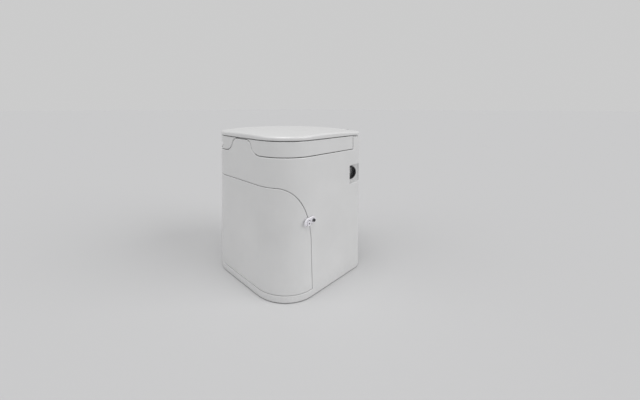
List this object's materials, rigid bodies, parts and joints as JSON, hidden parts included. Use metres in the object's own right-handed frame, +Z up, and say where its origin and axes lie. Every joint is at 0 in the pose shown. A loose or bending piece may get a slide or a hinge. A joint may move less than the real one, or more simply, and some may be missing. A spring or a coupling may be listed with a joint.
{
  "type": "composting toilet",
  "caption": "Free-standing urine-diverting dry toilet: drafted cabinet with a wrap-round front door, tilting seat unit, crowned lid, lift-out bin and bottle, and a vented fan.",
  "frame": {"origin": "on the floor, under the middle of the toilet's bounding box", "axes": "+Z up, -Y towards the user (the front door), +X towards the side with the vent and the latch"},
  "size_m": [0.377, 0.3658, 0.45],
  "materials": {
    "cabinet_plastic": "satin moulded white",
    "inner_plastic": "plain moulded white",
    "latch_plastic": "polished white",
    "dark_plastic": "moulded charcoal",
    "bin_plastic": "moulded dark grey",
    "bottle_plastic": "milky blow-moulded",
    "fastener_steel": "plain stainless",
    "screw_black": "blackened socket screws",
    "foot_rubber": "matt black"
  },
  "bodies": {
    "housing": {"housing_shell": "cabinet_plastic", "rim_frame": "cabinet_plastic", "door_frame": "cabinet_plastic", "foot_frame": "cabinet_plastic", "vent_box": "cabinet_plastic", "floor_pan": "inner_plastic", "pan_screws": "fastener_steel", "rubber_feet": "foot_rubber", "hinge_brackets": "fastener_steel", "bracket_screws": "fastener_steel", "hinge_pins": "fastener_steel", "door_hinge_pins": "fastener_steel", "latch_pivot_screw": "screw_black", "latch_standoff": "latch_plastic", "vent_collar": "dark_plastic", "insect_screen": "fastener_steel", "fan_frame": "dark_plastic", "fan_screws": "fastener_steel", "power_inlet": "dark_plastic", "inlet_nut": "fastener_steel", "seat_buffers": "foot_rubber"},
    "fan": {"fan_impeller": "dark_plastic"},
    "latch": {"latch_hook": "latch_plastic"},
    "door": {"front_door": "cabinet_plastic", "latch_keeper": "latch_plastic", "keeper_screw": "screw_black"},
    "seat": {"seat_shell": "cabinet_plastic", "urine_diverter": "inner_plastic", "diverter_screws": "fastener_steel"},
    "lid": {"lid_panel": "cabinet_plastic", "lid_liner": "inner_plastic", "liner_screws": "fastener_steel", "lid_buffers": "foot_rubber"},
    "bin": {"solids_bin": "bin_plastic"},
    "bail": {"bin_handle": "fastener_steel", "handle_grip": "dark_plastic"},
    "bottle": {"urine_bottle": "bottle_plastic", "bottle_funnel": "dark_plastic"}
  },
  "joints": [
    {"name": "seat_hinge", "type": "hinge", "parent": "housing", "child": "seat", "pos_m": [0, 0.1662, 0.4364], "axis": [-1, 0, 0], "range_deg": [0, 90]},
    {"name": "lid_hinge", "type": "hinge", "parent": "seat", "child": "lid", "pos_m": [0, 0.1662, 0.4364], "axis": [-1, 0, 0], "range_deg": [0, 95]},
    {"name": "door_hinge", "type": "hinge", "parent": "housing", "child": "door", "pos_m": [-0.185, -0.0759, 0.077], "axis": [0, 0, -1], "range_deg": [0, 115]},
    {"name": "latch_pivot", "type": "hinge", "parent": "housing", "child": "latch", "pos_m": [0.1835, -0.0742, 0.2197], "axis": [-1, 0, 0], "range_deg": [0, 110]},
    {"name": "fan_spin", "type": "hinge", "parent": "housing", "child": "fan", "pos_m": [0.14073, 0.13112, 0.3115], "axis": [0.9397, -0.342, 0], "continuous": true},
    {"name": "bin_lift", "type": "slide", "parent": "housing", "child": "bin", "axis": [0, 0, 1], "range_m": [0, 0.14]},
    {"name": "bottle_lift", "type": "slide", "parent": "housing", "child": "bottle", "axis": [0, 0, 1], "range_m": [0, 0.11]},
    {"name": "bail_hinge", "type": "hinge", "parent": "bin", "child": "bail", "pos_m": [0, 0.052, 0.258], "axis": [-1, 0, 0], "range_deg": [0, 68]}
  ],
  "couplings": [
    {"joint": "bin_lift", "follows": "seat_hinge", "m_per_rad": 0.089},
    {"joint": "bottle_lift", "follows": "seat_hinge", "m_per_rad": 0.07},
    {"joint": "bail_hinge", "follows": "seat_hinge", "ratio": 0.75}
  ]
}
